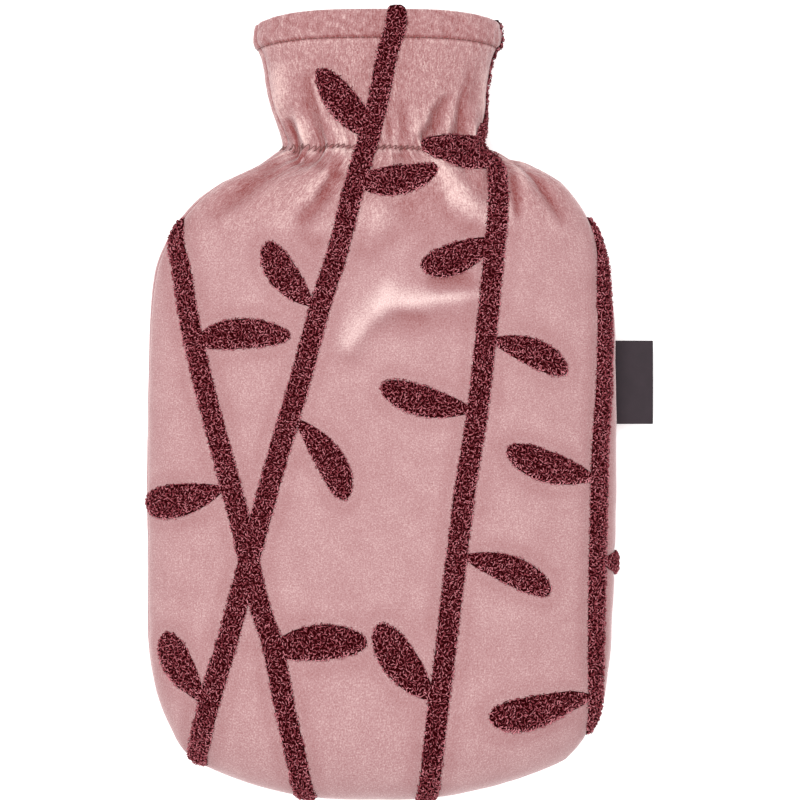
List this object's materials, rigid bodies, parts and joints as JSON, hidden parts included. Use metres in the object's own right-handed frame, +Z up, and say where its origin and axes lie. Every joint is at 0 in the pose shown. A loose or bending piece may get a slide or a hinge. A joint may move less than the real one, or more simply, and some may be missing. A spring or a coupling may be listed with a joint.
{
  "type": "hot water bottle cover",
  "caption": "Velour cover for a hot water bottle, with an open gathered neck, a flared collar, raised embroidered vines and a folded side tab, holding the bottle's shape.",
  "frame": {"origin": "on the flat of the back, half-way along the cover and in the middle of its width", "axes": "+X to the right across the front, +Y up to the open collar, +Z up, out of the front"},
  "size_m": [0.2206, 0.3424, 0.0548],
  "materials": {
    "velour": "soft short-pile velour in old pink",
    "looped_yarn": "tufted loops of burgundy yarn",
    "ribbon": "smooth woven ribbon in charcoal, bare"
  },
  "bodies": {
    "root": {"front_panel": "velour", "back_panel": "velour", "vines_crossed": "looped_yarn", "vine_middle": "looped_yarn", "vine_right": "looped_yarn", "side_tab": "ribbon"}
  },
  "joints": []
}
